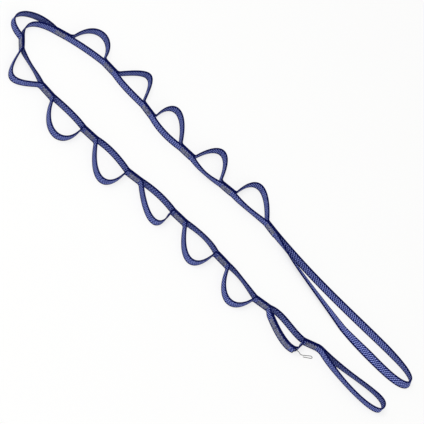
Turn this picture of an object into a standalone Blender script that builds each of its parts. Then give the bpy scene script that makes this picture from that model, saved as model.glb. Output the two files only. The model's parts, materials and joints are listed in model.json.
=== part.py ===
# A climbing daisy chain: one long ring of narrow webbing whose two strands are sewn
# together by fourteen bar tacks, which leaves thirteen pockets, a long harness loop at
# one end and a short clip loop at the other. It lies in a narrow U, on its edge.
# X runs along the U, whose two open ends are at +X, and +Z is up.
# Travel goes from the harness loop to the clip loop, and the pockets are on its right.
# The webbing is cut at one fold line beside each bar tack, where it bends.

import math

import bmesh
import bpy
from mathutils import Matrix, Vector

# Webbing
strap_width = 0.012
strap_thickness = 0.0019
fit_gap = 0.0003
fold_lip = 0.0003
longest_step = 0.009
largest_turn = 20.0

# Bar tacks: the sewn stretch, its thread on both faces and its two rows of stitches
tack_length = 0.0165
stitch_length = 0.0155
stitch_width = 0.0086
stitch_depth = 0.0004
stitch_row_length = 0.013
stitch_row_spacing = 0.0056
stitch_row_thickness = 0.0008
cut_overrun = 0.002

# The chain between its bar tacks, and its two end loops
gap_length = 0.060
fold_inset = 0.0035
spine_bend_radius = 0.010
pocket_bend_radius = 0.0045
harness_loop_length = 0.2645
clip_loop_length = 0.109

# The lap, where the webbing's two ends are sewn face to face
lap_start_length = 0.011
lap_length = 0.057
lap_stitch_margin = 0.006

# The thin black thread that is knotted on at the lap's outer end, and its route from
# the knot's middle down to the ground and back along it
thread_diameter = 0.0008
knot_diameter = 0.0026
knot_height = 0.008
knot_segments = 12
thread_point_spacing = 0.002
thread_route = (
    (0.0016, 0.0000, 0.0000),
    (0.0038, 0.0012, -0.0010),
    (0.0060, 0.0030, -0.0034),
    (0.0082, 0.0052, -0.0062),
    (0.0108, 0.0078, -0.0075),
    (0.0142, 0.0112, -0.0075),
    (0.0176, 0.0148, -0.0075),
    (0.0204, 0.0174, -0.0075),
    (0.0228, 0.0168, -0.0075),
    (0.0222, 0.0144, -0.0075),
    (0.0192, 0.0116, -0.0075),
    (0.0160, 0.0088, -0.0075),
    (0.0128, 0.0062, -0.0075),
)

# How the chain lies: headings in degrees, in travel's order
tack_headings = (168, 186, 180, 166, 175, 200, 306, 353, 1, 8, 0, 356, 10, 25)
gap_headings = (182, 181, 174.5, 173, 192, 245, 335, 357, 357, 0.5, 357.5, 350.5, 359.5)
gap_shares = (1.005, 0.885, 0.94, 0.95, 1, 0.96, 0.97, 0.995, 1.02, 0.995, 0.995, 0.98, 1.07)

# Each spine strand's turns towards the inside of the U as it leaves its own tack and
# before it enters the next one, in degrees, how far it reaches at both ends, as shares
# of its span, and its lean in degrees, which comes and goes at shares of its whole way
spine_out_turns = (17, 12, 10, 12, 12, 0, 27, 10, 14, 6, 13, 9, 16)
spine_in_turns = (14, 18, 10, 12, 2, 0, 22, 14, 24, 14, 22, 25, 22)
spine_leave_shares = (0.34, 0.34, 0.34, 0.34, 0.34, 0.6, 0.38, 0.34, 0.34, 0.34, 0.34, 0.34, 0.34)
spine_arrive_shares = (0.34, 0.34, 0.34, 0.34, 0.34, 0.4, 0.38, 0.34, 0.34, 0.34, 0.34, 0.34, 0.34)
spine_place_shares = (0, 0.24, 0.42, 0.78, 0.94, 1)
spine_lean_shares = (0, 0, 1, 1, 0, 0)
spine_leans = (-16, -24, 0, 0, 0, 0, 24, 0, 0, 0, 14, 20, 0)

# Each pocket's turns out of its own tack and back into the next one, in degrees, how
# far it reaches at both ends, as shares of the gap's length, and its last bend's radius
leave_turns = (48, 82, 66, 62, 76, 22, 27, 66, 65, 58, 65, 71, 46)
arrive_turns = (80, 78, 104, 64, 62, 44, 58, 92, 82, 100, 90, 70, 80)
leave_shares = (1.02, 0.92, 1.08, 0.88, 0.66, 0.74, 0.94, 1, 1.05, 0.95, 1, 0.88, 0.64)
arrive_shares = (0.84, 0.93, 0.72, 1, 0.9, 0.75, 0.8, 0.86, 0.9, 0.76, 0.86, 0.82, 0.6)
return_radii = (
    0.0035, 0.0035, 0.003, 0.005, 0.01, 0.003, 0.006,
    0.003, 0.003, 0.003, 0.003, 0.004, 0.0025,
)

# The end loops: the turn from the tack's own line to the nose, in degrees, the reach at
# the fold, at both sides of the nose and back at the fold, as shares of the loop's
# length, and the lean in degrees at shares of the whole way
harness_nose_turn = 4.6
harness_return_turn = 5
harness_return_radius = 0.04
harness_reach_shares = (0.49, 0.132, 0.135, 0.3)
harness_place_shares = (
    0, 0.06, 0.2, 0.31, 0.4, 0.45, 0.5, 0.57, 0.62,
    0.68, 0.74, 0.79, 0.85, 0.91, 0.95, 0.98, 1,
)
harness_leans = (0, -10, -14, -16, -6, 10, 20, 28, 40, 76, 98, 110, 118, 125, 136, 158, 180)
clip_place_shares = (0, 0.14, 0.26, 0.4, 0.5, 0.6, 0.74, 0.86, 1)
clip_leans = (0, 0, 16, 16, 0, -16, -16, 0, 0)
clip_bend_turn = 29
clip_bend_radius = 0.016
clip_return_turn = 18
clip_nose_turn = 2.7
clip_reach_shares = (0.45, 0.27, 0.18, 0.35)

pocket_count = len(gap_headings)
tack_count = len(tack_headings)
root_link = 6
half_gap = fit_gap / 2
fold_radius = strap_thickness + half_gap
cup_radius = fold_radius + fit_gap
strand_offset = half_gap + strap_thickness / 2
lap_offset = strap_thickness + fit_gap


def unit(heading):
    angle = math.radians(heading)
    return Vector((math.cos(angle), math.sin(angle), 0))


def right_of(heading):
    angle = math.radians(heading)
    return Vector((math.sin(angle), -math.cos(angle), 0))


def near_turn(heading, wanted):
    """The wanted heading, written within half a turn of the first."""
    return wanted + 360 * round((heading - wanted) / 360)


def read_table(place, places, values):
    """The value at a place between a table's neighbouring entries."""
    for i in range(1, len(places)):
        if place <= places[i]:
            break
    share = (place - places[i - 1]) / (places[i] - places[i - 1])
    return values[i - 1] + (values[i] - values[i - 1]) * share


class Way:
    """The middle line of a strap in plan, as points with the heading at each."""

    def __init__(self):
        self.points = []
        self.headings = []

    def add(self, point, heading):
        self.points.append(point)
        self.headings.append(heading)

    def straight(self, start, heading, length):
        """Also adds its first point."""
        pieces = math.ceil(length / longest_step)
        for i in range(pieces + 1):
            self.add(start + unit(heading) * length * i / pieces, heading)
        return self.points[-1]

    def bend(self, start, heading, turn, radius):
        """Turns to the right, and leaves its first point out."""
        centre = start + right_of(heading) * radius
        pieces = math.ceil(abs(turn) / largest_turn)
        for i in range(1, pieces + 1):
            now = heading - turn * i / pieces
            self.add(centre - right_of(now) * radius, now)
        return self.points[-1]

    def curve(self, start, heading_out, reach_out, end, heading_in, reach_in):
        """A cubic curve, with a point for each step or turn, that leaves out its first."""
        first = start + unit(heading_out) * reach_out
        last = end - unit(heading_in) * reach_in
        samples = 400
        previous = start
        heading = heading_out
        kept_heading = heading_out
        run = 0.0
        for i in range(1, samples + 1):
            t = i / samples
            s = 1 - t
            point = start * s ** 3 + first * 3 * s * s * t + last * 3 * s * t * t + end * t ** 3
            slope = (first - start) * s * s + (last - first) * 2 * s * t + (end - last) * t * t
            heading = near_turn(heading, math.degrees(math.atan2(slope.y, slope.x)))
            run += (point - previous).length
            previous = point
            if i == samples or run > longest_step or abs(heading - kept_heading) > largest_turn:
                self.add(point, heading)
                kept_heading = heading
                run = 0.0

    def travel(self):
        lengths = [0.0]
        for here, there in zip(self.points, self.points[1:]):
            lengths.append(lengths[-1] + (there - here).length)
        return lengths


def section(point, heading, lean, low_side, high_side, width=strap_width):
    """A strap's four corners across its way, with its lowest corner on the ground."""
    tilt = math.radians(lean)
    right = right_of(heading)
    up = Vector((0, 0, 1))
    across = right * math.cos(tilt) - up * math.sin(tilt)
    upward = up * math.cos(tilt) + right * math.sin(tilt)
    height = (strap_width * abs(math.cos(tilt)) + strap_thickness * abs(math.sin(tilt))) / 2
    middle = point + up * height
    half = upward * (width / 2)
    return (
        middle + across * low_side - half,
        middle + across * high_side - half,
        middle + across * high_side + half,
        middle + across * low_side + half,
    )


def along(way, places=(0, 1), leans=(0, 0), shift=0.0, thickness=strap_thickness, width=strap_width):
    """Sections along a way, whose lean is read from a table of shares of its length."""
    lengths = way.travel()
    sections = []
    for point, heading, length in zip(way.points, way.headings, lengths):
        lean = read_table(length / lengths[-1], places, leans)
        low, high = shift - thickness / 2, shift + thickness / 2
        sections.append(section(point, heading, lean, low, high, width))
    return sections


def fold_end(fold_point, heading, side, shape, at_end, lean=0):
    """Sections of a strand's shaped end: a nose is round, and a cup is hollow round it.

    The heading is the strap's own way, and the side is where the strand lies of it.
    """
    if shape == "nose":
        radius = fold_radius
        low = math.asin((half_gap + fold_lip) / radius)
        high = math.pi / 2
        forward = 1 if at_end else -1
    else:
        radius = cup_radius
        low = math.asin(half_gap / radius)
        high = math.asin((fold_radius - fold_lip) / radius)
        forward = -1 if at_end else 1
    pieces = math.ceil(math.degrees(high - low) / largest_turn)
    flip = round(math.cos(math.radians(lean)))
    sections = []
    for i in range(pieces + 1):
        angle = low + (high - low) * i / pieces
        point = fold_point + unit(heading) * (forward * radius * math.cos(angle))
        edge = radius * math.sin(angle)
        limits = (half_gap, edge) if shape == "nose" else (edge, fold_radius)
        low_side, high_side = sorted(side * flip * limit for limit in limits)
        sections.append(section(point, heading, lean, low_side, high_side))
    if shape == "nose":
        # the widest section is the strap's own first one
        sections.pop()
        thin_first = True
    else:
        thin_first = False
    if at_end == thin_first:
        sections.reverse()
    return sections


def lay_out_folds(start):
    """Each bar tack's fold, which is where the tack starts: its point and heading."""
    point = start
    folds = []
    for k, heading in enumerate(tack_headings):
        fold = point + unit(heading) * fold_inset
        folds.append((fold, heading))
        if k < pocket_count:
            tack_end = fold + unit(heading) * tack_length
            point = tack_end + unit(gap_headings[k]) * (gap_length * gap_shares[k])
    return folds


def cup_start(fold, side):
    """Where a strand's full section ends before the fold that it runs up to."""
    point, heading = fold
    full = math.sqrt(cup_radius ** 2 - half_gap ** 2)
    return point - unit(heading) * full + right_of(heading) * (side * strand_offset)


def spine_way(k, folds):
    """The inner strand of pocket k, from its own fold up to the next fold."""
    (start, heading), (_, heading_in) = folds[k], folds[k + 1]
    heading_in = near_turn(heading, heading_in)
    way = Way()
    out = way.straight(start - right_of(heading) * strand_offset, heading, tack_length)
    out = way.bend(out, heading, -spine_out_turns[k], -spine_bend_radius)
    out_heading = heading + spine_out_turns[k]
    back_heading = heading_in - spine_in_turns[k]
    centre = cup_start(folds[k + 1], -1) - right_of(heading_in) * spine_bend_radius
    back = centre + right_of(back_heading) * spine_bend_radius
    span = (back - out).length
    way.curve(
        out, out_heading, span * spine_leave_shares[k],
        back, back_heading, span * spine_arrive_shares[k],
    )
    way.bend(back, back_heading, -spine_in_turns[k], -spine_bend_radius)
    return way


def pocket_way(k, folds):
    """The outer strand of pocket k, which bulges to the right of travel."""
    (start, heading), (_, heading_in) = folds[k], folds[k + 1]
    heading_in = near_turn(heading, heading_in)
    way = Way()
    out = way.straight(start + right_of(heading) * strand_offset, heading, tack_length)
    out = way.bend(out, heading, leave_turns[k], pocket_bend_radius)
    back_heading = heading_in + arrive_turns[k]
    centre = cup_start(folds[k + 1], 1) + right_of(heading_in) * return_radii[k]
    back = centre - right_of(back_heading) * return_radii[k]
    way.curve(
        out, heading - leave_turns[k], gap_length * leave_shares[k],
        back, back_heading, gap_length * arrive_shares[k],
    )
    way.bend(back, back_heading, arrive_turns[k], return_radii[k])
    return way


def loop_curves(way, start, heading, end, length, nose_turn, home_turn, reach_shares):
    """Out to the nose, round it to the right, and back to the end."""
    out, nose_in, nose_out, home = (length * share for share in reach_shares)
    nose = start.lerp(end, 0.5) + unit(heading + nose_turn) * length
    nose_heading = heading + nose_turn - 90
    way.curve(start, heading, out, nose, nose_heading, nose_in)
    way.curve(nose, nose_heading, nose_out, end, heading - 180 - home_turn, home)


def harness_loop_sections(folds):
    point, heading = folds[0]
    outward = heading + 180
    way = Way()
    start = cup_start(folds[0], 1)
    way.add(start, outward)
    end = cup_start(folds[0], -1)
    home_heading = outward - 180 - harness_return_turn
    centre = end - right_of(heading) * harness_return_radius
    back = centre + right_of(home_heading) * harness_return_radius
    loop_curves(way, start, outward, back, harness_loop_length, harness_nose_turn,
                harness_return_turn, harness_reach_shares)
    way.bend(back, home_heading, -harness_return_turn, -harness_return_radius)
    return (
        fold_end(point, outward, -1, "cup", at_end=False)[:-1]
        + along(way, harness_place_shares, harness_leans)
        + fold_end(point, way.headings[-1], -1, "cup", at_end=True, lean=harness_leans[-1])[1:]
    )


def clip_loop_sections(folds):
    point, heading = folds[-1]
    outward = heading - clip_bend_turn
    tack_end = point + unit(heading) * tack_length
    centre = tack_end + right_of(heading) * clip_bend_radius
    way = Way()
    out = way.straight(point - right_of(heading) * strand_offset, heading, tack_length)
    out = way.bend(out, heading, clip_bend_turn, clip_bend_radius + strand_offset)
    back_radius = clip_bend_radius - strand_offset
    back_turn = clip_bend_turn + clip_return_turn
    back_outward = heading - back_turn
    back = centre - right_of(back_outward) * back_radius
    loop_curves(way, out, outward, back, clip_loop_length, clip_nose_turn,
                clip_return_turn, clip_reach_shares)
    back = way.bend(back, back_outward - 180, -back_turn, -back_radius)
    way.points.pop()
    way.headings.pop()
    way.straight(back, heading - 180, tack_length)
    return (
        fold_end(point, heading, -1, "nose", at_end=False)
        + along(way, clip_place_shares, clip_leans)
        + fold_end(point, heading - 180, -1, "nose", at_end=True)
    )


def part_of(way, first_length, last_length):
    """The stretch of a way between two lengths of travel, with its ends put in."""
    lengths = way.travel()
    piece = Way()
    for wanted in (first_length, last_length):
        at = next(i for i in range(1, len(lengths)) if wanted <= lengths[i] or i == len(lengths) - 1)
        share = (wanted - lengths[at - 1]) / (lengths[at] - lengths[at - 1])
        point = way.points[at - 1].lerp(way.points[at], share)
        heading = way.headings[at - 1] + (way.headings[at] - way.headings[at - 1]) * share
        piece.add(point, heading)
    inside = [
        (point, heading)
        for point, heading, length in zip(way.points, way.headings, lengths)
        if first_length + fold_lip < length < last_length - fold_lip
    ]
    piece.points[1:1] = [point for point, _ in inside]
    piece.headings[1:1] = [heading for _, heading in inside]
    return piece


def lap_pieces(folds):
    """The last pocket's two layers: the first end outside, and the second end inside."""
    k = pocket_count - 1
    way = pocket_way(k, folds)
    lengths = way.travel()
    lap_start = tack_length + lap_start_length
    outer = part_of(way, 0.0, lap_start + lap_length)
    inner = part_of(way, lap_start, lengths[-1])
    travelled = outer.travel()
    sections = []
    for point, heading, length in zip(outer.points, outer.headings, travelled):
        share = min(max((length - tack_length) / lap_start_length, 0.0), 1.0)
        shift = lap_offset * share
        low, high = shift - strap_thickness / 2, shift + strap_thickness / 2
        sections.append(section(point, heading, 0, low, high))
    start, heading = folds[k]
    end, heading_in = folds[k + 1]
    first_end = fold_end(start, heading, 1, "nose", at_end=False) + sections
    second_end = along(inner) + fold_end(end, heading_in, 1, "cup", at_end=True)[1:]
    return first_end, second_end


def lap_stitch_sections(folds, face):
    """A thin band of thread on one face of the lap."""
    way = pocket_way(pocket_count - 1, folds)
    first = tack_length + lap_start_length + lap_stitch_margin
    last = tack_length + lap_start_length + lap_length - lap_stitch_margin
    layers = lap_offset if face > 0 else 0.0
    shift = face * (strap_thickness / 2 + fit_gap + stitch_depth / 2) + layers
    return along(part_of(way, first, last), shift=shift, thickness=stitch_depth, width=stitch_width)


def knot_middle(folds):
    """Just past the outer end of the lap, beside the inner layer."""
    way = pocket_way(pocket_count - 1, folds)
    clear = fit_gap + knot_diameter / 2
    at_end = tack_length + lap_start_length + lap_length + clear
    piece = part_of(way, at_end, at_end + fit_gap)
    point = piece.points[0] + right_of(piece.headings[0]) * (strap_thickness / 2 + clear)
    return point + Vector((0, 0, knot_height))


def smooth_route(route):
    """Evenly spaced points on a smooth curve through a route's own points."""
    points = [Vector(place) for place in route]
    ends = [2 * points[0] - points[1]] + points + [2 * points[-1] - points[-2]]
    samples = 60
    dense = [points[0]]
    for before, here, there, after in zip(ends, ends[1:], ends[2:], ends[3:]):
        for i in range(1, samples + 1):
            t = i / samples
            dense.append(
                here
                + (there - before) * (t / 2)
                + (2 * before - 5 * here + 4 * there - after) * (t * t / 2)
                + (3 * here - before - 3 * there + after) * (t ** 3 / 2)
            )
    lengths = [0.0]
    for here, there in zip(dense, dense[1:]):
        lengths.append(lengths[-1] + (there - here).length)
    count = round(lengths[-1] / thread_point_spacing)
    wanted = [lengths[-1] * i / count for i in range(count + 1)]
    return [dense[min(range(len(dense)), key=lambda i: abs(lengths[i] - w))] for w in wanted]


def thread_curve(name, start):
    curve = bpy.data.curves.new(name, "CURVE")
    curve.dimensions = "3D"
    curve.bevel_depth = thread_diameter / 2
    curve.bevel_resolution = 2
    curve.use_fill_caps = True
    points = smooth_route(thread_route)
    spline = curve.splines.new("POLY")
    spline.points.add(len(points) - 1)
    for made, point in zip(spline.points, points):
        made.co = (*(start + point), 1)
    spline.use_smooth = True
    return curve


def knot_mesh(name, centre):
    body = bmesh.new()
    bmesh.ops.create_uvsphere(
        body,
        u_segments=knot_segments,
        v_segments=knot_segments // 2,
        radius=knot_diameter / 2,
        matrix=Matrix.Translation(centre),
    )
    for face in body.faces:
        face.smooth = True
    mesh = bpy.data.meshes.new(name)
    body.to_mesh(mesh)
    body.free()
    return mesh


def strap_pieces(folds):
    """Every strap piece as its name, its link and its sections."""
    pieces = [("harness_loop", 0, harness_loop_sections(folds))]
    for k in range(pocket_count):
        link = k + 1
        start, heading = folds[k]
        end, heading_in = folds[k + 1]
        leans = [spine_leans[k] * share for share in spine_lean_shares]
        spine = (
            fold_end(start, heading, -1, "nose", at_end=False)
            + along(spine_way(k, folds), spine_place_shares, leans)
            + fold_end(end, heading_in, -1, "cup", at_end=True)[1:]
        )
        pieces.append((f"spine_{link:02d}", link, spine))
        if link < pocket_count:
            pocket = (
                fold_end(start, heading, 1, "nose", at_end=False)
                + along(pocket_way(k, folds))
                + fold_end(end, heading_in, 1, "cup", at_end=True)[1:]
            )
            pieces.append((f"pocket_{link:02d}", link, pocket))
    outer_end, inner_end = lap_pieces(folds)
    pieces.append((f"pocket_{pocket_count:02d}_outer_end", pocket_count, outer_end))
    pieces.append((f"pocket_{pocket_count:02d}_inner_end", pocket_count, inner_end))
    pieces.append(("clip_loop", tack_count, clip_loop_sections(folds)))
    return pieces


def middle_of(pieces):
    """The middle of all the straps in plan."""
    corners = [corner for _, _, sections in pieces for ring in sections for corner in ring]
    lows = [min(corner[i] for corner in corners) for i in range(2)]
    highs = [max(corner[i] for corner in corners) for i in range(2)]
    return Vector(((lows[0] + highs[0]) / 2, (lows[1] + highs[1]) / 2, 0))


def strap_mesh(name, sections, origin):
    mesh = bpy.data.meshes.new(name)
    body = bmesh.new()
    rings = [[body.verts.new(corner - origin) for corner in ring] for ring in sections]
    for ring, following in zip(rings, rings[1:]):
        for i in range(4):
            j = (i + 1) % 4
            body.faces.new((ring[i], ring[j], following[j], following[i]))
    body.faces.new(rings[0])
    body.faces.new(rings[-1])
    bmesh.ops.recalc_face_normals(body, faces=body.faces)
    body.to_mesh(mesh)
    body.free()
    return mesh


def box_mesh(name, boxes):
    """Boxes given by their centres and sizes."""
    body = bmesh.new()
    for centre, size in boxes:
        matrix = Matrix.Translation(centre) @ Matrix.Diagonal((*size, 1))
        bmesh.ops.create_cube(body, size=1, matrix=matrix)
    mesh = bpy.data.meshes.new(name)
    body.to_mesh(mesh)
    body.free()
    return mesh


def material(name, colour, roughness):
    made = bpy.data.materials.new(name)
    made.use_nodes = True
    shader = made.node_tree.nodes["Principled BSDF"]
    shader.inputs["Base Color"].default_value = (*colour, 1)
    shader.inputs["Roughness"].default_value = roughness
    shader.inputs["Metallic"].default_value = 0
    return made


def add_object(name, data, parent=None):
    made = bpy.data.objects.new(name, data)
    bpy.context.collection.objects.link(made)
    made.parent = parent
    return made


def combine(piece, tool, operation):
    modifier = piece.modifiers.new(tool.name, "BOOLEAN")
    modifier.operation = operation
    modifier.solver = "EXACT"
    modifier.object = tool


def make_links(folds):
    """One empty on each link's joint axis, hung on its neighbour nearer the bend."""
    places = {root_link: Vector((0, 0, 0))}
    empties = {root_link: add_object(f"link_{root_link:02d}", None)}
    for link in range(root_link + 1, tack_count + 1):
        places[link] = folds[link - 1][0]
        empties[link] = add_object(f"link_{link:02d}", None, empties[link - 1])
        empties[link].location = places[link] - places[link - 1]
    for link in range(root_link - 1, -1, -1):
        places[link] = folds[link][0]
        empties[link] = add_object(f"link_{link:02d}", None, empties[link + 1])
        empties[link].location = places[link] - places[link + 1]
    return empties, places


def stitch_mesh():
    """Thread on both faces of a bar tack and through it, lying along X."""
    middle = fold_radius + fit_gap + stitch_depth / 2
    band = (stitch_length, stitch_depth, stitch_width)
    row = (stitch_row_length, 2 * middle, stitch_row_thickness)
    centre = strap_width / 2
    boxes = [(Vector((0, -middle, centre)), band), (Vector((0, middle, centre)), band)]
    for side in (-1, 1):
        boxes.append((Vector((0, 0, centre + side * stitch_row_spacing / 2)), row))
    helpers = []
    for i, box in enumerate(boxes):
        helpers.append(add_object(f"thread_helper_{i}", box_mesh(f"thread_{i}", [box])))
    for helper in helpers[1:]:
        combine(helpers[0], helper, "UNION")
    bpy.context.view_layer.update()
    graph = bpy.context.evaluated_depsgraph_get()
    mesh = bpy.data.meshes.new_from_object(helpers[0].evaluated_get(graph))
    for helper in helpers:
        bpy.data.objects.remove(helper, do_unlink=True)
    return mesh


def slot_mesh():
    """Two slots for the rows of stitches, right through both strands."""
    size = (
        stitch_row_length + 2 * fit_gap,
        2 * (fold_radius + cut_overrun),
        stitch_row_thickness + 2 * fit_gap,
    )
    centre = strap_width / 2
    places = [centre + side * stitch_row_spacing / 2 for side in (-1, 1)]
    return box_mesh("stitch_slots", [(Vector((0, 0, place)), size) for place in places])


def main():
    for existing in list(bpy.data.objects):
        bpy.data.objects.remove(existing, do_unlink=True)
    webbing = material("blue_webbing", (0.075, 0.095, 0.32), 0.85)
    sewing_thread = material("grey_sewing_thread", (0.30, 0.30, 0.36), 0.7)
    black_thread = material("black_thread", (0.01, 0.01, 0.012), 0.6)

    start = -middle_of(strap_pieces(lay_out_folds(Vector((0, 0, 0)))))
    folds = lay_out_folds(start)
    empties, places = make_links(folds)

    straps = {}
    for name, link, sections in strap_pieces(folds):
        piece = add_object(name, strap_mesh(name, sections, places[link]), empties[link])
        piece.data.materials.append(webbing)
        straps.setdefault(link, []).append(piece)

    thread = stitch_mesh()
    thread.materials.append(sewing_thread)
    slots = slot_mesh()
    for k, (point, heading) in enumerate(folds):
        link = k + 1
        centre = point + unit(heading) * (tack_length / 2) - places[link]
        tack = add_object(f"bar_tack_{link:02d}", thread, empties[link])
        cutter = add_object(f"stitch_cutter_{link:02d}", slots, empties[link])
        for made in (tack, cutter):
            made.location = centre
            made.rotation_euler.z = math.radians(heading)
        cutter.hide_render = True
        cutter.display_type = "WIRE"
        for piece in straps[link]:
            if not piece.name.endswith("inner_end"):
                combine(piece, cutter, "DIFFERENCE")

    lap_place = places[pocket_count]
    lap_link = empties[pocket_count]
    for name, face in (("lap_stitching_outside", 1), ("lap_stitching_inside", -1)):
        sections = lap_stitch_sections(folds, face)
        band = add_object(name, strap_mesh(name, sections, lap_place), lap_link)
        band.data.materials.append(sewing_thread)

    middle = knot_middle(folds)
    knot_place = middle - lap_place
    knot = add_object("end_thread_knot", knot_mesh("end_thread_knot", knot_place), lap_link)
    thread_end = add_object("end_thread", thread_curve("end_thread", knot_place), lap_link)
    for made in (knot, thread_end):
        made.data.materials.append(black_thread)

    print(f"thread starts from {tuple(round(value, 4) for value in middle)}")
    for k, (point, heading) in enumerate(folds):
        print(f"fold {k + 1:2d} at {point.x * 1000:8.2f} {point.y * 1000:8.2f} mm, heading {heading}")


main()
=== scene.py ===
# Looks of a climbing daisy chain: one ring of narrow blue webbing, sewn into thirteen
# pockets by fourteen grey bar tacks, with a lap seam and a thin black thread.
# Lengths are in metres and angles in degrees. Travel goes from the long loop to the short one.
import json
import math

import bmesh
import bpy
from mathutils import Matrix, Vector


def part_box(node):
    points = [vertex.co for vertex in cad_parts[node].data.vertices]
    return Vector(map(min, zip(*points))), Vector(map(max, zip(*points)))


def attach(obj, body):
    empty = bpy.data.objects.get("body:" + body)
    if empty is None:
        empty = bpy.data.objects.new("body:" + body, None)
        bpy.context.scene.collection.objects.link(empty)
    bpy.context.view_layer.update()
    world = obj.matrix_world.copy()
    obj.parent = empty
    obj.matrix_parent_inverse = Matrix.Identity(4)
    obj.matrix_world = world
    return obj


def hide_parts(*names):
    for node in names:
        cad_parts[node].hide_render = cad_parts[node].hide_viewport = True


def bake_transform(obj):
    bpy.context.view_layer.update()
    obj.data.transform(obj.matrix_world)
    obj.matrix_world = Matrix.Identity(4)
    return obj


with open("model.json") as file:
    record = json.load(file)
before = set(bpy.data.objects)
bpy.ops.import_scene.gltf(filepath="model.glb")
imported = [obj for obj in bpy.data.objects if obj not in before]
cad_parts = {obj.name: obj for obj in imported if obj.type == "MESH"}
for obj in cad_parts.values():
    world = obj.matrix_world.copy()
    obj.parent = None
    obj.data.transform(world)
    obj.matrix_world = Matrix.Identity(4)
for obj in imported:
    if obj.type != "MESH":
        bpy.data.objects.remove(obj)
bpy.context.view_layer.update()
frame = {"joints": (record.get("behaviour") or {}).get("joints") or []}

mm = 0.001
mergeDistance = 0.00001

# Camera
view = {
    "turn": 0.0,                # round the object
    "height": 45.0,             # above the floor
    "roll": 43.0,               # the photograph is turned, so that the chain lies corner to corner
    "distance": 6.0,
    "lookAt": (0.0095, -0.0032, 0.006),
    "width": 0.5616,            # what the square frame takes in at that distance
    "sensor": 36.0,
    "farEnd": 100.0,
}


def makeCamera(use):
    turn, height, roll = (math.radians(use[name]) for name in ("turn", "height", "roll"))
    ahead = Vector((
        -math.sin(turn) * math.cos(height),
        math.cos(turn) * math.cos(height),
        -math.sin(height),
    ))
    data = bpy.data.cameras.new("photoCamera")
    data.sensor_width = use["sensor"]
    data.lens = use["sensor"] * use["distance"] / use["width"]
    data.clip_end = use["farEnd"]
    camera = bpy.data.objects.new("photoCamera", data)
    camera.location = Vector(use["lookAt"]) - ahead * use["distance"]
    facing = ahead.to_track_quat("-Z", "Y").to_matrix() @ Matrix.Rotation(roll, 3, "Z")
    camera.rotation_euler = facing.to_euler()
    bpy.context.scene.collection.objects.link(camera)
    bpy.context.scene.camera = camera


makeCamera(view)
print("camera set")


# Small helpers for materials and objects
def toLinear(hexCode):
    channels = [int(hexCode[i:i + 2], 16) / 255 for i in (1, 3, 5)]
    return [c / 12.92 if c <= 0.04045 else ((c + 0.055) / 1.055) ** 2.4 for c in channels] + [1]


def addNode(tree, kind, inputs=(), **settings):
    node = tree.nodes.new(kind)
    for name, value in settings.items():
        setattr(node, name, value)
    for place, value in dict(inputs).items():
        if isinstance(value, bpy.types.NodeSocket):
            tree.links.new(value, node.inputs[place])
        else:
            node.inputs[place].default_value = value
    return node


def newMaterial(name):
    made = bpy.data.materials.new(name)
    made.use_nodes = True
    made.node_tree.nodes.clear()
    return made, made.node_tree


def addPiece(name, data, material, nodes):
    piece = bpy.data.objects.new(name, data)
    bpy.context.scene.collection.objects.link(piece)
    data.materials.clear()
    data.materials.append(material)
    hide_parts(*nodes)
    return piece


def meshOfCurve(name, curve):
    holder = bpy.data.objects.new(name, curve)
    bpy.context.scene.collection.objects.link(holder)
    bpy.context.view_layer.update()
    graph = bpy.context.evaluated_depsgraph_get()
    mesh = bpy.data.meshes.new_from_object(holder.evaluated_get(graph))
    mesh.name = name
    bpy.data.objects.remove(holder, do_unlink=True)
    bpy.data.curves.remove(curve)
    body = bmesh.new()
    body.from_mesh(mesh)
    bmesh.ops.remove_doubles(body, verts=body.verts, dist=mergeDistance)
    bmesh.ops.recalc_face_normals(body, faces=body.faces)
    for face in body.faces:
        face.smooth = True
    body.to_mesh(mesh)
    body.free()
    return mesh


def threadCurve(name, points, diameter, sides):
    curve = bpy.data.curves.new(name, "CURVE")
    curve.dimensions = "3D"
    curve.bevel_depth = diameter / 2
    curve.bevel_resolution = sides
    curve.use_fill_caps = True
    spline = curve.splines.new("POLY")
    spline.points.add(len(points) - 1)
    for made, point in zip(spline.points, points):
        made.co = (*point, 1)
    spline.use_smooth = True
    return curve


# Black thread and its knot
# Twisted polyester cord, waxed: nearly black, with a painted sheen that makes each turn a little
# lighter
blackThread = {
    "diameter": 0.0008,
    "sides": 3,
    "points": 34,
    "samples": 60,
    "knotTurns": 2.5,
    "knotRadius": 0.0008,
    "knotLength": 0.0012,
    "knotSteps": 40,
    "knotSides": 2,
    "core": 0.0011,
    "coreDivisions": 2,
    "colour": "#040406",
    "paintedSheen": "#121318",
    "roughness": 0.6,
    "twist": 0.0009,
    "twistWander": 1.5,
    "relief": 0.0001,
    "reliefStrength": 0.6,
    "route": (  # from the knot's middle down to the floor, out along it and back
        (0.0016, 0.0000, 0.0000),
        (0.0038, 0.0012, -0.0010),
        (0.0060, 0.0030, -0.0034),
        (0.0082, 0.0052, -0.0062),
        (0.0108, 0.0078, -0.0075),
        (0.0142, 0.0112, -0.0075),
        (0.0176, 0.0148, -0.0075),
        (0.0204, 0.0174, -0.0075),
        (0.0228, 0.0168, -0.0075),
        (0.0222, 0.0144, -0.0075),
        (0.0192, 0.0116, -0.0075),
        (0.0160, 0.0088, -0.0075),
        (0.0128, 0.0062, -0.0075),
    ),
}


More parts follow.
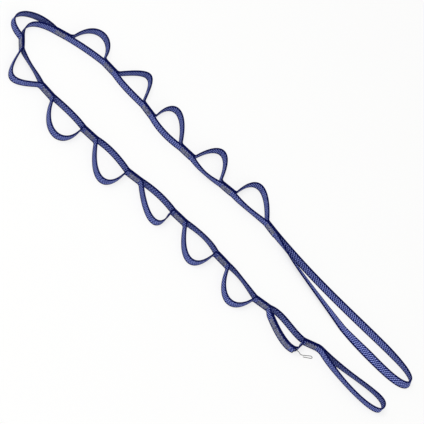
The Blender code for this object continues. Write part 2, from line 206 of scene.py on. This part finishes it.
# Evenly spaced points on a smooth curve through the given ones
def smoothRoute(points, samples, count):
    ends = [2 * points[0] - points[1]] + points + [2 * points[-1] - points[-2]]
    dense = [points[0]]
    for before, here, there, after in zip(ends, ends[1:], ends[2:], ends[3:]):
        for i in range(1, samples + 1):
            t = i / samples
            dense.append(
                here
                + (there - before) * (t / 2)
                + (2 * before - 5 * here + 4 * there - after) * (t * t / 2)
                + (3 * here - before - 3 * there + after) * (t ** 3 / 2)
            )
    lengths = [0.0]
    for here, there in zip(dense, dense[1:]):
        lengths.append(lengths[-1] + (there - here).length)
    wanted = [lengths[-1] * i / (count - 1) for i in range(count)]
    return [dense[min(range(len(dense)), key=lambda i: abs(lengths[i] - w))] for w in wanted]


def blackThreadMaterial(use):
    made, tree = newMaterial("waxedBlackThread")
    place = addNode(tree, "ShaderNodeTexCoord")
    twist = addNode(tree, "ShaderNodeTexWave", {
        "Vector": place.outputs["Object"], "Scale": 1 / use["twist"],
        "Distortion": use["twistWander"],
    }, bands_direction="DIAGONAL")
    # Painted sheen: each turn of the twist is coloured lighter, as if it caught the light
    colour = addNode(tree, "ShaderNodeMix", {
        "Factor": twist.outputs["Fac"],
        6: toLinear(use["colour"]), 7: toLinear(use["paintedSheen"]),
    }, data_type="RGBA")
    bump = addNode(tree, "ShaderNodeBump", {
        "Height": twist.outputs["Fac"], "Distance": use["relief"],
        "Strength": use["reliefStrength"],
    })
    shader = addNode(tree, "ShaderNodeBsdfPrincipled", {
        "Base Color": colour.outputs[2], "Roughness": use["roughness"],
        "Normal": bump.outputs["Normal"],
    })
    addNode(tree, "ShaderNodeOutputMaterial", {"Surface": shader.outputs[0]})
    return made


def makeBlackThread(use):
    low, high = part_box("end_thread_knot")
    middle = (low + high) / 2
    material = blackThreadMaterial(use)
    route = [middle + Vector(place) for place in use["route"]]
    points = smoothRoute(route, use["samples"], use["points"])
    thread = addPiece(
        "black_thread", threadCurve("black_thread", points, use["diameter"], use["sides"]),
        material, ["end_thread"],
    )
    coil = []
    for i in range(use["knotSteps"] + 1):
        share = i / use["knotSteps"]
        angle = math.tau * use["knotTurns"] * share
        coil.append(middle + Vector((
            (share - 0.5) * use["knotLength"],
            math.cos(angle) * use["knotRadius"],
            math.sin(angle) * use["knotRadius"],
        )))
    coilCurve = threadCurve("knot", coil, use["diameter"], use["knotSides"])
    mesh = meshOfCurve("black_thread_knot", coilCurve)
    body = bmesh.new()
    body.from_mesh(mesh)
    bmesh.ops.create_icosphere(
        body, subdivisions=use["coreDivisions"], radius=use["core"],
        matrix=Matrix.Translation(middle),
    )
    body.to_mesh(mesh)
    body.free()
    knot = addPiece("black_thread_knot", mesh, material, ["end_thread_knot"])
    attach(thread, "link_13")
    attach(knot, "link_13")


makeBlackThread(blackThread)

# How the webbing lies
webbing = {
    "width": 0.012,
    "thickness": 0.0019,
    "faceThickness": 0.0016,    # between the rounded selvages
    "strandGap": 0.0003,
    "step": 0.0012,
    "turnStep": 7.0,
    "samples": 900,
    "selvagePoints": 5,
    "selvageTurn": 110.0,       # of each rounded selvage, to where the face begins
    "facePoints": 8,
    "leanBlend": 0.012,         # how far a change of lean is smoothed either way
    "bendReach": 0.0015,        # past a fold line, to where the strap is stiff again
}
chain = {
    "tackLength": 0.0165,
    "gapLength": 0.060,
    "tackHeadings": (168, 186, 180, 166, 175, 200, 306, 353, 1, 8, 0, 356, 10, 25),
    "spineLeave": (0.34, 0.34, 0.34, 0.34, 0.34, 0.6, 0.38, 0.34, 0.34, 0.34, 0.34, 0.34, 0.34),
    "spineArrive": (0.34, 0.34, 0.34, 0.34, 0.34, 0.4, 0.38, 0.34, 0.34, 0.34, 0.34, 0.34, 0.34),
    "spineOut": (17, 12, 10, 12, 12, 0, 27, 10, 14, 6, 13, 9, 16),
    "spineIn": (14, 18, 10, 12, 2, 0, 22, 14, 24, 14, 22, 25, 22),
    "spineBendRadius": 0.01,
    "spineLeanPlaces": (0, 0.24, 0.42, 0.78, 0.94, 1),
    "spineLeanShares": (0, 0, 1, 1, 0, 0),
    "spineLeans": (-16, -24, 0, 0, 0, 0, 24, 0, 0, 0, 14, 20, 0),
}
pockets = {
    "bendRadius": 0.0045,
    "returnRadii": (3.5, 3.5, 3, 5, 10, 3, 6, 3, 3, 3, 3, 4, 2.5),      # mm
    "leaveTurns": (48, 82, 66, 62, 76, 22, 27, 66, 65, 58, 65, 71, 46),
    "arriveTurns": (80, 78, 104, 64, 62, 44, 58, 92, 82, 100, 90, 70, 80),
    "leaveReach": (1.02, 0.92, 1.08, 0.88, 0.66, 0.74, 0.94, 1, 1.05, 0.95, 1, 0.88, 0.64),
    "arriveReach": (0.84, 0.93, 0.72, 1, 0.9, 0.75, 0.8, 0.86, 0.9, 0.76, 0.86, 0.82, 0.6),
}
longLoop = {
    "length": 0.2645,
    "noseTurn": 4.6,
    "returnTurn": 5,
    "returnRadius": 0.04,
    "reach": (0.49, 0.132, 0.135, 0.3),
    "leanPlaces": (
        0, 0.06, 0.2, 0.31, 0.4, 0.45, 0.5, 0.57, 0.62,
        0.68, 0.74, 0.79, 0.85, 0.91, 0.95, 0.98, 1,
    ),
    "leans": (0, -10, -14, -16, -6, 10, 20, 28, 40, 76, 98, 110, 118, 125, 136, 158, 180),
}
shortLoop = {
    "length": 0.109,
    "bendTurn": 29,
    "bendRadius": 0.016,
    "noseTurn": 2.7,
    "returnTurn": 18,
    "reach": (0.45, 0.27, 0.18, 0.35),
    "leanPlaces": (0, 0.14, 0.26, 0.4, 0.5, 0.6, 0.74, 0.86, 1),
    "leans": (0, 0, 16, 16, 0, -16, -16, 0, 0),
}
lap = {
    "startLength": 0.011,
    "length": 0.057,
    "stitchMargin": 0.006,
    "sealedLength": 0.0016,
}
joints = {joint["name"]: joint for joint in frame["joints"]}
foldCount = len(chain["tackHeadings"])
folds = [
    (Vector((*joints[f"fold_{k + 1:02d}"]["pos_m"][:2], 0)), heading)
    for k, heading in enumerate(chain["tackHeadings"])
]
bodyNames = ["harness_end"] + [f"link_{k:02d}" for k in range(1, foldCount)] + ["clip_end"]
halfGap = webbing["strandGap"] / 2
cupRadius = webbing["thickness"] + halfGap + webbing["strandGap"]
# From a fold line back to the end of the strand before it
foldReach = math.sqrt(cupRadius ** 2 - halfGap ** 2)
strandOffset = (webbing["strandGap"] + webbing["thickness"]) / 2
lapOffset = webbing["strandGap"] + webbing["thickness"]


def unit(heading):
    angle = math.radians(heading)
    return Vector((math.cos(angle), math.sin(angle), 0))


def rightOf(heading):
    angle = math.radians(heading)
    return Vector((math.sin(angle), -math.cos(angle), 0))


def nearTurn(heading, wanted):
    return wanted + 360 * round((heading - wanted) / 360)


def readTable(place, places, values):
    place = min(max(place, places[0]), places[-1])
    for i in range(1, len(places)):
        if place <= places[i]:
            break
    share = (place - places[i - 1]) / (places[i] - places[i - 1])
    return values[i - 1] + (values[i] - values[i - 1]) * share


# A way is a list of (point, heading) along a strap's middle line in plan
def addStraight(way, start, heading, length):
    pieces = math.ceil(length / webbing["step"])
    for i in range(pieces + 1):
        way.append((start + unit(heading) * length * i / pieces, heading))


def addBend(way, heading, turn, radius):
    centre = way[-1][0] + rightOf(heading) * radius
    length = abs(radius) * math.radians(abs(turn))
    pieces = math.ceil(max(abs(turn) / webbing["turnStep"], length / webbing["step"]))
    for i in range(1, pieces + 1):
        now = heading - turn * i / pieces
        way.append((centre - rightOf(now) * radius, now))


def addCurve(way, headingOut, reachOut, end, headingIn, reachIn):
    start = way[-1][0]
    first = start + unit(headingOut) * reachOut
    last = end - unit(headingIn) * reachIn
    previous, heading, keptHeading, run = start, headingOut, headingOut, 0.0
    for i in range(1, webbing["samples"] + 1):
        t = i / webbing["samples"]
        s = 1 - t
        point = start * s ** 3 + first * 3 * s * s * t + last * 3 * s * t * t + end * t ** 3
        slope = (first - start) * s * s + (last - first) * 2 * s * t + (end - last) * t * t
        heading = nearTurn(heading, math.degrees(math.atan2(slope.y, slope.x)))
        run += (point - previous).length
        previous = point
        turned = abs(heading - keptHeading) > webbing["turnStep"]
        if i == webbing["samples"] or run > webbing["step"] or turned:
            way.append((point, heading))
            keptHeading, run = heading, 0.0


def travelOf(way):
    lengths = [0.0]
    for (here, _), (there, _) in zip(way, way[1:]):
        lengths.append(lengths[-1] + (there - here).length)
    return lengths


# Where the strand before fold k ends, on the spine side (-1) or the pocket side (1)
def strandEnd(k, side):
    point, heading = folds[k]
    return point - unit(heading) * foldReach + rightOf(heading) * (side * strandOffset)


def spineWay(k):
    heading = folds[k][1]
    headingIn = nearTurn(heading, folds[k + 1][1])
    way = []
    addStraight(way, strandEnd(k, -1), heading, foldReach + chain["tackLength"])
    out, into, radius = chain["spineOut"][k], chain["spineIn"][k], chain["spineBendRadius"]
    addBend(way, heading, -out, -radius)
    centre = strandEnd(k + 1, -1) - rightOf(headingIn) * radius
    end = centre + rightOf(headingIn - into) * radius
    span = (end - way[-1][0]).length
    addCurve(
        way, heading + out, span * chain["spineLeave"][k],
        end, headingIn - into, span * chain["spineArrive"][k],
    )
    addBend(way, headingIn - into, -into, -radius)
    return way


def pocketWay(k):
    heading = folds[k][1]
    headingIn = nearTurn(heading, folds[k + 1][1])
    leave, arrive = pockets["leaveTurns"][k], pockets["arriveTurns"][k]
    way = []
    addStraight(way, strandEnd(k, 1), heading, foldReach + chain["tackLength"])
    addBend(way, heading, leave, pockets["bendRadius"])
    radius = pockets["returnRadii"][k] * mm
    centre = strandEnd(k + 1, 1) + rightOf(headingIn) * radius
    back = centre - rightOf(headingIn + arrive) * radius
    addCurve(
        way, heading - leave, chain["gapLength"] * pockets["leaveReach"][k],
        back, headingIn + arrive, chain["gapLength"] * pockets["arriveReach"][k],
    )
    addBend(way, headingIn + arrive, arrive, radius)
    return way


# Out to the nose, round it to the right, and back to the end
def addLoop(way, heading, end, use, homeTurn):
    start = way[-1][0]
    out, noseIn, noseOut, home = (use["length"] * share for share in use["reach"])
    nose = start.lerp(end, 0.5) + unit(heading + use["noseTurn"]) * use["length"]
    noseHeading = heading + use["noseTurn"] - 90
    addCurve(way, heading, out, nose, noseHeading, noseIn)
    addCurve(way, noseHeading, noseOut, end, heading - 180 - homeTurn, home)


def longLoopWay(use):
    outward = folds[0][1] + 180
    home = outward - 180 - use["returnTurn"]
    way = [(strandEnd(0, 1), outward)]
    end = strandEnd(0, -1)
    centre = end - rightOf(folds[0][1]) * use["returnRadius"]
    addLoop(way, outward, centre + rightOf(home) * use["returnRadius"], use, use["returnTurn"])
    addBend(way, home, -use["returnTurn"], -use["returnRadius"])
    return way


def shortLoopWay(use):
    heading = folds[-1][1]
    outward = heading - use["bendTurn"]
    way = []
    addStraight(way, strandEnd(foldCount - 1, -1), heading, foldReach + chain["tackLength"])
    tackEnd = folds[-1][0] + unit(heading) * chain["tackLength"]
    centre = tackEnd + rightOf(heading) * use["bendRadius"]
    addBend(way, heading, use["bendTurn"], use["bendRadius"] + strandOffset)
    backRadius = use["bendRadius"] - strandOffset
    backTurn = use["bendTurn"] + use["returnTurn"]
    backOutward = heading - backTurn
    addLoop(way, outward, centre - rightOf(backOutward) * backRadius, use, use["returnTurn"])
    addBend(way, backOutward - 180, -backTurn, -backRadius)
    back = way.pop()[0]
    addStraight(way, back, heading - 180, foldReach + chain["tackLength"])
    return way


# The point and heading at a length of travel
def placeAt(way, lengths, wanted):
    wanted = min(max(wanted, 0.0), lengths[-1])
    at = next(i for i in range(1, len(lengths)) if wanted <= lengths[i] or i == len(lengths) - 1)
    share = (wanted - lengths[at - 1]) / (lengths[at] - lengths[at - 1])
    (here, headingHere), (there, headingThere) = way[at - 1], way[at]
    return here.lerp(there, share), headingHere + (headingThere - headingHere) * share


def partOf(way, first, last):
    lengths = travelOf(way)
    clear = webbing["step"] / 4     # keeps points off the two ends
    inside = [place for place, length in zip(way, lengths) if first + clear < length < last - clear]
    return [placeAt(way, lengths, first)] + inside + [placeAt(way, lengths, last)]


# Woven nylon webbing: light filament streaks slant over a dark blue ground, in dashes,
# between dense navy selvages. It scatters light and hardly shines. The weave is drawn
# coarser than the real one, so that it shows. Its lengths are in millimetres.
weave = {
    "streakSpacing": 4.3,       # along the strap
    "streakSlant": 1.4,         # along it for each millimetre across it
    "dashSpacing": 2.8,
    "dashSlant": -0.3,
    "dashShare": 0.35,
    "fleckFrom": 0.25,
    "fleckFull": 1.05,
    "gapFrom": 0.1,
    "gapFull": -0.7,
    "wobble": 1.6,
    "wobbleScale": 0.4,
    "wobbleDetail": 2.0,
    "patchScale": 0.09,
    "patchDark": 0.8,
    "patchLight": 1.2,
    "fibreScale": 2.4,
    "fibreShare": 0.5,
    "detail": 3.0,
    "selvage": 1.9,             # width of the navy at both edges
    "selvageBlend": 0.2,
    "ground": "#1b2880",
    "fleck": "#a8b6f6",
    "gap": "#080f52",
    "selvageColour": "#01052c",
    "selvageFleck": "#0e175c",
    "sealed": "#08090f",        # where the cut end was melted shut
    "roughness": 0.75,
    "shine": 0.03,
    "relief": 0.14,
    "reliefStrength": 0.5,
}


def webbingMaterial(use):
    made, tree = newMaterial("wovenNylonWebbing")
    place = addNode(tree, "ShaderNodeAttribute", attribute_name="strapPlace").outputs["Vector"]
    height = addNode(tree, "ShaderNodeSeparateXYZ", {0: place}).outputs[2]
    wander = addNode(tree, "ShaderNodeTexNoise", {
        "Vector": place, "Scale": use["wobbleScale"], "Detail": use["wobbleDetail"],
    })
    patches = addNode(tree, "ShaderNodeTexNoise", {
        "Vector": place, "Scale": use["patchScale"], "Detail": use["detail"],
    })
    fibres = addNode(tree, "ShaderNodeTexNoise", {
        "Vector": place, "Scale": use["fibreScale"], "Detail": use["detail"],
    })

    # Slanting streaks, broken into dashes
    streakTurn = math.tau / use["streakSpacing"]
    streakPhase = addNode(tree, "ShaderNodeVectorMath", {
        0: place, 1: (streakTurn, 0, streakTurn * use["streakSlant"]),
    }, operation="DOT_PRODUCT")
    streakPhase = addNode(tree, "ShaderNodeMath", {
        0: wander.outputs["Fac"], 1: use["wobble"], 2: streakPhase.outputs["Value"],
    }, operation="MULTIPLY_ADD")
    streak = addNode(tree, "ShaderNodeMath", {0: streakPhase.outputs[0]}, operation="SINE")
    dashTurn = math.tau / use["dashSpacing"]
    dashPhase = addNode(tree, "ShaderNodeVectorMath", {
        0: place, 1: (dashTurn, 0, dashTurn * use["dashSlant"]),
    }, operation="DOT_PRODUCT")
    dash = addNode(tree, "ShaderNodeMath", {0: dashPhase.outputs["Value"]}, operation="SINE")
    lift = addNode(tree, "ShaderNodeMath", {
        0: dash.outputs[0], 1: use["dashShare"], 2: streak.outputs[0],
    }, operation="MULTIPLY_ADD").outputs[0]
    fleckShare = addNode(tree, "ShaderNodeMapRange", {
        0: lift, 1: use["fleckFrom"], 2: use["fleckFull"],
    }, interpolation_type="SMOOTHSTEP")
    gapShare = addNode(tree, "ShaderNodeMapRange", {
        0: lift, 1: use["gapFrom"], 2: use["gapFull"],
    }, interpolation_type="SMOOTHSTEP")

    # The selvages, by the distance from the strap's middle
    fromMiddle = addNode(tree, "ShaderNodeMath", {0: height}, operation="ABSOLUTE")
    inner = webbing["width"] / mm / 2 - use["selvage"]
    selvageShare = addNode(tree, "ShaderNodeMapRange", {
        0: fromMiddle.outputs[0], 1: inner - use["selvageBlend"], 2: inner + use["selvageBlend"],
    }, interpolation_type="SMOOTHSTEP")

    ground = addNode(tree, "ShaderNodeMix", {
        "Factor": gapShare.outputs[0], 6: toLinear(use["ground"]), 7: toLinear(use["gap"]),
    }, data_type="RGBA")
    flecked = addNode(tree, "ShaderNodeMix", {
        "Factor": fleckShare.outputs[0], 6: ground.outputs[2], 7: toLinear(use["fleck"]),
    }, data_type="RGBA")
    rim = addNode(tree, "ShaderNodeMix", {
        "Factor": fibres.outputs["Fac"],
        6: toLinear(use["selvageColour"]), 7: toLinear(use["selvageFleck"]),
    }, data_type="RGBA")
    woven = addNode(tree, "ShaderNodeMix", {
        "Factor": selvageShare.outputs[0], 6: flecked.outputs[2], 7: rim.outputs[2],
    }, data_type="RGBA")
    sealed = addNode(tree, "ShaderNodeAttribute", attribute_name="sealedEnd")
    closed = addNode(tree, "ShaderNodeMix", {
        "Factor": sealed.outputs["Fac"], 6: woven.outputs[2], 7: toLinear(use["sealed"]),
    }, data_type="RGBA")
    value = addNode(tree, "ShaderNodeMapRange", {
        0: patches.outputs["Fac"], 3: use["patchDark"], 4: use["patchLight"],
    })
    shade = addNode(tree, "ShaderNodeHueSaturation", {
        "Color": closed.outputs[2], "Value": value.outputs[0],
    })
    relief = addNode(tree, "ShaderNodeMath", {
        0: fibres.outputs["Fac"], 1: use["fibreShare"], 2: lift,
    }, operation="MULTIPLY_ADD")
    bump = addNode(tree, "ShaderNodeBump", {
        "Height": relief.outputs[0], "Distance": use["relief"] * mm,
        "Strength": use["reliefStrength"],
    })
    shader = addNode(tree, "ShaderNodeBsdfPrincipled", {
        "Base Color": shade.outputs[0], "Roughness": use["roughness"],
        "Specular IOR Level": use["shine"], "Normal": bump.outputs["Normal"],
    })
    addNode(tree, "ShaderNodeOutputMaterial", {"Surface": shader.outputs[0]})
    return made


def strapProfile(use):
    radius, face, half = use["thickness"] / 2, use["faceThickness"] / 2, use["width"] / 2
    side = []
    for i in range(use["selvagePoints"]):
        angle = math.radians(use["selvageTurn"]) * i / (use["selvagePoints"] - 1)
        side.append((radius * math.sin(angle), radius * (1 - math.cos(angle)) - half))
    inner = half - 2 * radius
    for i in range(use["facePoints"]):
        side.append((face, inner * (2 * i / (use["facePoints"] - 1) - 1)))
    side += [(across, -height) for across, height in reversed(side[:use["selvagePoints"]])]
    return side + [(-across, height) for across, height in reversed(side[1:-1])]


# A strap bent along its way, on its edge on the floor, that keeps its flat coordinates
def strapMesh(
    name, way, startTravel, turned, leanPlaces=(0, 1), leans=(0, 0), shifts=None, sealed=None,
):
    profile = strapProfile(webbing)
    lengths = travelOf(way)
    count, around = len(way), len(profile)
    body = bmesh.new()
    place = body.verts.layers.float_vector.new("strapPlace")
    sealedEnd = body.verts.layers.float.new("sealedEnd")
    bmesh.ops.create_grid(
        body, x_segments=count - 1, y_segments=around, size=0.5,
        matrix=Matrix.Translation((0.5, 0.5, 0)),
    )
    smoothing = webbing["leanBlend"] / lengths[-1]
    rings = []
    for i, (point, heading) in enumerate(way):
        share = lengths[i] / lengths[-1]
        spots = [share + smoothing * offset for offset in (-1, -0.5, 0, 0.5, 1)]
        lean = sum(readTable(spot, leanPlaces, leans) for spot in spots) / len(spots)
        tilt = math.radians(lean)
        right, up = rightOf(heading), Vector((0, 0, 1))
        across = right * math.cos(tilt) - up * math.sin(tilt)
        upward = up * math.cos(tilt) + right * math.sin(tilt)
        standing, lying = abs(math.cos(tilt)), abs(math.sin(tilt))
        rise = (webbing["width"] * standing + webbing["thickness"] * lying) / 2
        shift = shifts(lengths[i]) if shifts else 0.0
        rings.append((point + up * rise + across * shift, across, upward))
    alongTurn, acrossTurn, heightTurn = turned
    for vert in body.verts:
        i, j = round(vert.co.x * (count - 1)), round(vert.co.y * around) % around
        middle, across, upward = rings[i]
        sideways, height = profile[j]
        vert.co = middle + across * sideways + upward * height
        vert[place] = Vector((
            startTravel + alongTurn * lengths[i], acrossTurn * sideways, heightTurn * height,
        )) / mm
        if sealed is not None:
            vert[sealedEnd] = max(0.0, 1 - abs(lengths[i] - sealed) / lap["sealedLength"])
    bmesh.ops.remove_doubles(body, verts=body.verts, dist=mergeDistance)
    for face in body.faces:
        face.smooth = True
    rims = [edge for edge in body.edges if edge.is_boundary]
    for edge in rims:
        edge.smooth = False
    for face in bmesh.ops.holes_fill(body, edges=rims)["faces"]:
        face.smooth = False
    bmesh.ops.recalc_face_normals(body, faces=body.faces)
    mesh = bpy.data.meshes.new(name)
    body.to_mesh(mesh)
    body.free()
    return mesh


# Bakes the piece's placement into its mesh; the piece is attached to no body and does not bend at
# the fold
def bendAtFold(piece):
    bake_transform(piece)


def makeStraps(material):
    way = longLoopWay(longLoop)
    mesh = strapMesh(
        "harness_loop_webbing", way, 0.0, (1, 1, 1), longLoop["leanPlaces"], longLoop["leans"],
    )
    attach(addPiece(mesh.name, mesh, material, ["harness_loop"]), bodyNames[0])
    spineTravel = travelOf(way)[-1]
    longLoopLength = spineTravel
    pocketTravel = 0.0
    for k in range(foldCount - 1):
        name = f"spine_{k + 1:02d}"
        way = spineWay(k)
        leans = [chain["spineLeans"][k] * share for share in chain["spineLeanShares"]]
        mesh = strapMesh(
            f"{name}_webbing", way, spineTravel, (1, -1, -1), chain["spineLeanPlaces"], leans,
        )
        bendAtFold(addPiece(mesh.name, mesh, material, [name]))
        spineTravel += travelOf(way)[-1]
        if k < foldCount - 2:
            name = f"pocket_{k + 1:02d}"
            way = pocketWay(k)
            mesh = strapMesh(f"{name}_webbing", way, pocketTravel, (-1, -1, 1))
            bendAtFold(addPiece(mesh.name, mesh, material, [name]))
            pocketTravel -= travelOf(way)[-1]
    print("spine and pocket strands made")

    last = foldCount - 2
    way = pocketWay(last)
    fullStart = foldReach + chain["tackLength"]
    lapStart = fullStart + lap["startLength"]
    lapEnd = lapStart + lap["length"]

    def outerShift(length):
        share = min(max((length - fullStart) / lap["startLength"], 0.0), 1.0)
        return lapOffset * share * share * (3 - 2 * share)

    outer = partOf(way, 0.0, lapEnd)
    mesh = strapMesh(
        "pocket_13_outer_webbing", outer, pocketTravel, (-1, -1, 1),
        shifts=outerShift, sealed=travelOf(outer)[-1],
    )
    bendAtFold(addPiece(mesh.name, mesh, material, ["pocket_13_outer_end"]))
    pocketTravel -= travelOf(outer)[-1]

    loop = shortLoopWay(shortLoop)
    mesh = strapMesh(
        "clip_loop_webbing", loop, spineTravel, (1, -1, -1),
        shortLoop["leanPlaces"], shortLoop["leans"],
    )
    bendAtFold(addPiece(mesh.name, mesh, material, ["clip_loop"]))
    spineTravel += travelOf(loop)[-1]

    inner = partOf(way, lapStart, travelOf(way)[-1])
    spineTravel += travelOf(inner)[-1]
    mesh = strapMesh("pocket_13_inner_webbing", inner, spineTravel, (-1, 1, -1), sealed=0.0)
    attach(addPiece(mesh.name, mesh, material, ["pocket_13_inner_end"]), bodyNames[-2])
    webbingLength = (spineTravel - pocketTravel) / mm
    print(f"webbing in all {webbingLength:.0f} mm, long loop {longLoopLength / mm:.0f} mm")
    return way, lapStart, lapEnd


lastPocketWay, lapStart, lapEnd = makeStraps(webbingMaterial(weave))

# Bar tacks and the lap's seam
# Bonded polyester sewing thread: grey, a little shiny, in dense zigzags from edge to edge
sewing = {
    "diameter": 0.00044,
    "pitch": 0.00066,           # from one leg of the zigzag to the next
    "legPoints": 5,
    "height": 0.0086,
    "length": 0.0155,
    "lift": 0.00026,
    "sink": 0.00022,
    "archSteepness": 1.6,
    "sides": 1,
    "colour": "#9c9eb2",
    "dark": "#3b3f66",          # in patches, as if the webbing's blue showed through
    "light": "#c6c8d2",
    "lightShare": 0.45,
    "roughness": 0.5,
    "twist": 0.0011,
    "twistWander": 2.0,
    "twistDetail": 1.0,
    "patch": 0.0026,
    "patchDetail": 3.0,
    "patchFrom": 0.42,
    "patchFull": 0.62,
    "relief": 0.00006,
    "reliefStrength": 0.6,
}


def sewingThreadMaterial(use):
    made, tree = newMaterial("bondedPolyesterThread")
    place = addNode(tree, "ShaderNodeTexCoord")
    twist = addNode(tree, "ShaderNodeTexWave", {
        "Vector": place.outputs["Object"], "Scale": 1 / use["twist"],
        "Distortion": use["twistWander"], "Detail": use["twistDetail"],
    }, bands_direction="DIAGONAL")
    patches = addNode(tree, "ShaderNodeTexNoise", {
        "Vector": place.outputs["Object"], "Scale": 1 / use["patch"],
        "Detail": use["patchDetail"],
    })
    covered = addNode(tree, "ShaderNodeMapRange", {
        0: patches.outputs["Fac"], 1: use["patchFrom"], 2: use["patchFull"],
    })
    plain = addNode(tree, "ShaderNodeMix", {
        "Factor": covered.outputs[0], 6: toLinear(use["dark"]), 7: toLinear(use["colour"]),
    }, data_type="RGBA")
    lightShare = addNode(tree, "ShaderNodeMath", {
        0: twist.outputs["Fac"], 1: use["lightShare"],
    }, operation="MULTIPLY")
    colour = addNode(tree, "ShaderNodeMix", {
        "Factor": lightShare.outputs[0], 6: plain.outputs[2], 7: toLinear(use["light"]),
    }, data_type="RGBA")
    bump = addNode(tree, "ShaderNodeBump", {
        "Height": twist.outputs["Fac"], "Distance": use["relief"],
        "Strength": use["reliefStrength"],
    })
    shader = addNode(tree, "ShaderNodeBsdfPrincipled", {
        "Base Color": colour.outputs[2], "Roughness": use["roughness"],
        "Normal": bump.outputs["Normal"],
    })
    addNode(tree, "ShaderNodeOutputMaterial", {"Surface": shader.outputs[0]})
    return made


# A zigzag of thread on one face of a strap, whose legs arch from edge to edge
def zigzagPoints(way, first, last, surface, side, use):
    lengths = travelOf(way)
    legs = round((last - first) / use["pitch"])
    middle = webbing["width"] / 2
    points = []
    for leg in range(legs):
        for j in range(use["legPoints"] - 1):
            share = j / (use["legPoints"] - 1)
            point, heading = placeAt(way, lengths, first + (last - first) * (leg + share) / legs)
            rise = (share - 0.5) * (1 if leg % 2 else -1) * use["height"]
            arch = math.sin(math.pi * share)
            risen = min(1.0, use["archSteepness"] * arch)
            away = surface + (use["lift"] + use["sink"]) * risen - use["sink"]
            points.append(point + rightOf(heading) * (side * away) + Vector((0, 0, middle + rise)))
    return points


def zigzagMesh(name, runs, use):
    body = bmesh.new()
    for points in runs:
        mesh = meshOfCurve(name, threadCurve(name, points, use["diameter"], use["sides"]))
        body.from_mesh(mesh)
        bpy.data.meshes.remove(mesh)
    mesh = bpy.data.meshes.new(name)
    body.to_mesh(mesh)
    body.free()
    return mesh


def makeStitching(use):
    material = sewingThreadMaterial(use)
    surface = strandOffset + webbing["thickness"] / 2
    for k, (point, heading) in enumerate(folds):
        way = []
        addStraight(way, point, heading, chain["tackLength"])
        first = (chain["tackLength"] - use["length"]) / 2
        last = first + use["length"]
        runs = [zigzagPoints(way, first, last, surface, side, use) for side in (-1, 1)]
        name = f"bar_tack_{k + 1:02d}"
        mesh = zigzagMesh(f"{name}_thread", runs, use)
        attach(addPiece(mesh.name, mesh, material, [name]), bodyNames[k + 1])
    print("bar tacks sewn")
    first, last = lapStart + lap["stitchMargin"], lapEnd - lap["stitchMargin"]
    for name, side, surface in (
        ("lap_stitching_outside", 1, lapOffset + webbing["thickness"] / 2),
        ("lap_stitching_inside", -1, webbing["thickness"] / 2),
    ):
        runs = [zigzagPoints(lastPocketWay, first, last, surface, side, use)]
        mesh = zigzagMesh(f"{name}_thread", runs, use)
        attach(addPiece(mesh.name, mesh, material, [name]), bodyNames[-2])
    print("lap sewn")


makeStitching(sewing)

# Floor, backdrop and light
studio = {
    "floorSize": 6.0,
    "floorColour": "#f4f4f2",
    "whiteShare": 0.75,         # how far the floor is plain white where the camera sees it
    "worldLight": 0.62,
    "keyPlace": (-0.9, -0.5, 2.2),
    "keySize": 1.6,
    "keyPower": 28.0,
    "fillPlace": (1.6, -1.8, 1.2),
    "fillSize": 1.8,
    "fillPower": 10.0,
}


# 1 for what the camera sees, straight or in a mirror or through glass, and 0 for other light
def seenByCamera(tree):
    rays = addNode(tree, "ShaderNodeLightPath")
    seen = addNode(tree, "ShaderNodeMath", {
        0: rays.outputs["Is Camera Ray"], 1: rays.outputs["Is Glossy Ray"],
    }, operation="MAXIMUM")
    seen = addNode(tree, "ShaderNodeMath", {
        0: seen.outputs[0], 1: rays.outputs["Is Transmission Ray"],
    }, operation="MAXIMUM")
    return seen.outputs[0]


def makeFloor(use):
    made, tree = newMaterial("paleStudioFloor")
    seen = seenByCamera(tree)
    share = addNode(tree, "ShaderNodeMath", {
        0: seen, 1: use["whiteShare"],
    }, operation="MULTIPLY")
    matt = addNode(tree, "ShaderNodeBsdfDiffuse", {"Color": toLinear(use["floorColour"])})
    white = addNode(tree, "ShaderNodeEmission", {"Color": (1, 1, 1, 1), "Strength": 1.0})
    both = addNode(tree, "ShaderNodeMixShader", {
        0: share.outputs[0], 1: matt.outputs[0], 2: white.outputs[0],
    })
    addNode(tree, "ShaderNodeOutputMaterial", {"Surface": both.outputs[0]})
    body = bmesh.new()
    bmesh.ops.create_grid(body, x_segments=1, y_segments=1, size=use["floorSize"] / 2)
    mesh = bpy.data.meshes.new("floor")
    body.to_mesh(mesh)
    body.free()
    floor = bpy.data.objects.new("floor", mesh)
    mesh.materials.append(made)
    bpy.context.scene.collection.objects.link(floor)


def makeLights(use):
    world = bpy.data.worlds.new("studioWorld")
    world.use_nodes = True
    tree = world.node_tree
    tree.nodes.clear()
    seen = seenByCamera(tree)
    strength = addNode(tree, "ShaderNodeMapRange", {0: seen, 3: use["worldLight"], 4: 1.0})
    back = addNode(tree, "ShaderNodeBackground", {
        "Color": (1, 1, 1, 1), "Strength": strength.outputs[0],
    })
    addNode(tree, "ShaderNodeOutputWorld", {"Surface": back.outputs[0]})
    bpy.context.scene.world = world
    for name in ("key", "fill"):
        data = bpy.data.lights.new(f"{name}Light", "AREA")
        data.size = use[f"{name}Size"]
        data.energy = use[f"{name}Power"]
        lamp = bpy.data.objects.new(f"{name}Light", data)
        lamp.location = use[f"{name}Place"]
        lamp.rotation_euler = (-lamp.location).to_track_quat("-Z", "Y").to_euler()
        bpy.context.scene.collection.objects.link(lamp)


makeFloor(studio)
makeLights(studio)
bpy.context.scene.view_settings.view_transform = "Standard"
print("studio set")
